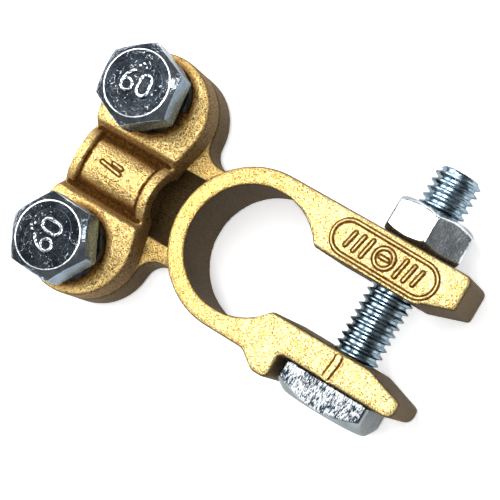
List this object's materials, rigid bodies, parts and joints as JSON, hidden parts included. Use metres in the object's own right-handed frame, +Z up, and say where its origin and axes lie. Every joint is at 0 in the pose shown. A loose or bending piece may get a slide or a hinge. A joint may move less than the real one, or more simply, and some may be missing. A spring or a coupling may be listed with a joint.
{
  "type": "battery terminal clamp",
  "caption": "Cast brass battery terminal clamp: a split taper ring closed by a square-head bolt and nut, with a bolted saddle for the cable.",
  "frame": {"origin": "on the post bore's axis, at the bottom face of the ring", "axes": "+Z up the post bore, +X towards the jaw tips, +Y towards the clamp bolt's nut; the cable leaves towards -X"},
  "size_m": [0.0534, 0.037, 0.0161],
  "materials": {
    "cast_brass": "tumbled",
    "zinc_steel": "satin"
  },
  "bodies": {
    "clamp": {"clamp_body": "cast_brass"},
    "clamp_bolt": {"clamp_bolt": "zinc_steel"},
    "clamp_nut": {"clamp_nut": "zinc_steel"},
    "cable_cap": {"cable_cap": "cast_brass", "spring_washer_a": "zinc_steel", "spring_washer_b": "zinc_steel"},
    "cable_bolt_a": {"cable_bolt_a": "zinc_steel"},
    "cable_bolt_b": {"cable_bolt_b": "zinc_steel"}
  },
  "joints": [
    {"name": "nut_turn", "type": "hinge", "parent": "clamp", "child": "clamp_nut", "pos_m": [0.0162, 0.0127, 0.00635], "axis": [0, 1, 0], "range_deg": [0, 1080]},
    {"name": "clamp_bolt_slide", "type": "slide", "parent": "clamp", "child": "clamp_bolt", "axis": [0, -1, 0], "range_m": [0, 0.003]},
    {"name": "cap_lift", "type": "slide", "parent": "clamp", "child": "cable_cap", "axis": [0, 0, 1], "range_m": [0, 0.004]},
    {"name": "cable_bolt_a_turn", "type": "hinge", "parent": "cable_cap", "child": "cable_bolt_a", "pos_m": [-0.02175, 0.0106, 0.0121], "axis": [0, 0, 1], "range_deg": [0, 1440]},
    {"name": "cable_bolt_b_turn", "type": "hinge", "parent": "cable_cap", "child": "cable_bolt_b", "pos_m": [-0.02175, -0.0106, 0.0121], "axis": [0, 0, 1], "range_deg": [0, 1440]}
  ],
  "couplings": [
    {"joint": "nut_turn", "follows": "clamp_bolt_slide", "rad_per_m": 6283.2},
    {"joint": "cable_bolt_a_turn", "follows": "cap_lift", "rad_per_m": 6283.2},
    {"joint": "cable_bolt_b_turn", "follows": "cap_lift", "rad_per_m": 6283.2}
  ]
}
